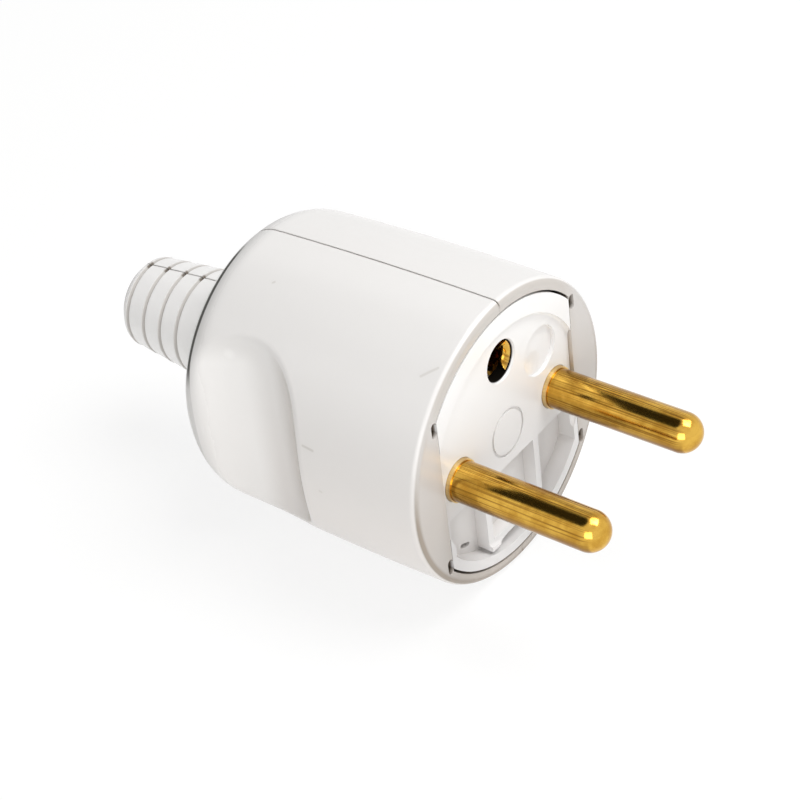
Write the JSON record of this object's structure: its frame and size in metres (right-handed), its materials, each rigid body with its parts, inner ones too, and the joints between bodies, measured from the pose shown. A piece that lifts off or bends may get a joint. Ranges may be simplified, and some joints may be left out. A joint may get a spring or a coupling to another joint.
{
  "type": "grounded plug",
  "caption": "Straight rewirable grounded mains plug: round two-shell body with finger grips, round pins, earth socket hole and a ringed cord tail.",
  "frame": {"origin": "centre of the face that meets the socket, midway between the two pins, where their axes cross it", "axes": "+X from the pin on the left to the pin on the right, +Y along the body towards the cord, away from the pins, +Z from the line of the pins up to the earth hole"},
  "size_m": [0.0368, 0.074, 0.0368],
  "materials": {
    "shell": "warm white, glossy moulded",
    "carrier": "white, glossy moulded",
    "plate": "natural, matt moulded",
    "contact": "polished, turned",
    "screw": "zinc plated"
  },
  "bodies": {
    "root": {"left_shell": "shell", "right_shell": "shell", "contact_carrier": "carrier", "retaining_plate": "plate", "retaining_screw_left": "screw", "retaining_screw_right": "screw", "line_pin": "contact", "neutral_pin": "contact", "line_terminal_screw": "screw", "neutral_terminal_screw": "screw", "earth_contact": "contact", "earth_contact_spring": "screw", "earth_terminal_screw": "screw", "cord_clamp_bar": "plate", "cord_clamp_screw_upper": "screw", "cord_clamp_screw_lower": "screw", "cord_clamp_nut_upper": "screw", "cord_clamp_nut_lower": "screw", "closing_screw_upper": "screw", "closing_screw_lower": "screw", "closing_nut_upper": "screw", "closing_nut_lower": "screw"}
  },
  "joints": []
}
